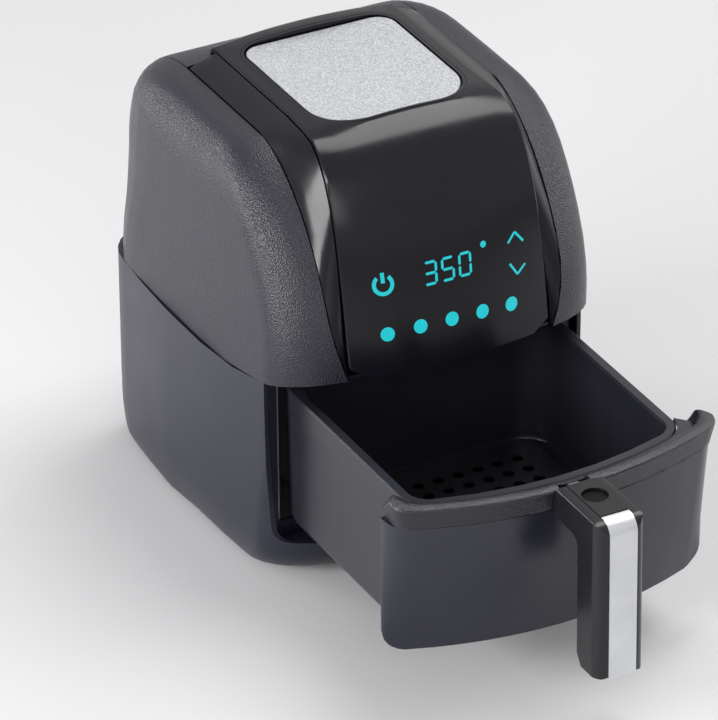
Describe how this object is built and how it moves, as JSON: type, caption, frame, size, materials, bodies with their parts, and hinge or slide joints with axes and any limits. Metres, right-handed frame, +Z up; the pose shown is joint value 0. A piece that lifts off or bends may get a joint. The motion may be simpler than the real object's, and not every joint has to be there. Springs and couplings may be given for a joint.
{
  "type": "air fryer",
  "caption": "Basket air fryer with a rounded black housing, slanted touch control front, metal top plate and a pulled-out drawer with a handle and a release button",
  "frame": {"origin": "centre of the bounding box on the resting plane, with the drawer pulled out as in the rest pose", "axes": "+X right as seen from the back, +Y to the back, +Z up; the drawer and its handle face -Y"},
  "size_m": [0.2816, 0.5934, 0.361],
  "materials": {
    "housing_plastic": "moulded, fine matt grain",
    "gloss_black": "polished black",
    "handle_black": "satin",
    "rubber": "matt",
    "silver_metal": "fine sparkle grain",
    "screw_steel": "plain",
    "sheet_steel": "galvanised sheet",
    "heater_sheath": "oxidised tube",
    "fan_aluminium": "pressed sheet",
    "board": "circuit board",
    "pan_coating": "non-stick coating"
  },
  "bodies": {
    "housing": {"base_shell": "housing_plastic", "bottom_cover": "housing_plastic", "rubber_feet": "rubber", "base_screws": "screw_steel", "opening_frame": "housing_plastic", "bay_liner": "sheet_steel", "drawer_rails": "sheet_steel", "left_cheek": "gloss_black", "right_cheek": "gloss_black", "centre_cover": "gloss_black", "left_flank_strip": "gloss_black", "right_flank_strip": "gloss_black", "plate_dish": "gloss_black", "top_plate": "silver_metal", "rear_cover": "housing_plastic", "exhaust_grille": "handle_black", "rear_screws": "screw_steel", "cord_gland": "rubber", "brow_panel": "housing_plastic", "upper_floor": "sheet_steel", "heat_dome": "sheet_steel", "heating_coil": "heater_sheath", "coil_clips": "sheet_steel", "coil_guard": "sheet_steel", "motor_bracket": "sheet_steel", "fan_motor": "sheet_steel", "air_duct": "sheet_steel", "thermal_fuse": "screw_steel", "temperature_sensor": "screw_steel", "power_board": "board", "board_holder": "housing_plastic", "control_board": "board", "display_module": "handle_black", "drawer_switch": "handle_black"},
    "drawer": {"outer_pan": "pan_coating", "basket": "pan_coating", "basket_floor": "pan_coating", "front_mounts": "housing_plastic", "drawer_front": "gloss_black", "front_trim": "gloss_black", "handle_bracket": "screw_steel", "handle_body": "handle_black", "handle_strip": "silver_metal", "handle_cover": "handle_black", "handle_screws": "screw_steel", "latch_pin": "screw_steel", "button_spring": "screw_steel"},
    "button": {"release_button": "handle_black"},
    "lever": {"latch_lever": "screw_steel"},
    "rotor": {"motor_shaft": "screw_steel", "convection_fan": "fan_aluminium", "cooling_fan": "handle_black"}
  },
  "joints": [
    {"name": "drawer_slide", "type": "slide", "parent": "housing", "child": "drawer", "axis": [0, -1, 0], "range_m": [-0.18, 0.04]},
    {"name": "release_press", "type": "slide", "parent": "drawer", "child": "button", "axis": [0, 0, -1], "range_m": [0, 0.003], "stiffness_N_per_m": 600, "springref_m": -0.002, "deforming": ["button_spring"]},
    {"name": "latch_hinge", "type": "hinge", "parent": "drawer", "child": "lever", "pos_m": [0, -0.2358, 0.1665], "axis": [1, 0, 0], "range_deg": [0, 15]},
    {"name": "fan_spin", "type": "hinge", "parent": "housing", "child": "rotor", "pos_m": [0, 0.1087, 0.25], "axis": [0, 0, 1], "continuous": true}
  ],
  "couplings": [
    {"joint": "latch_hinge", "follows": "release_press", "rad_per_m": 87.2}
  ]
}
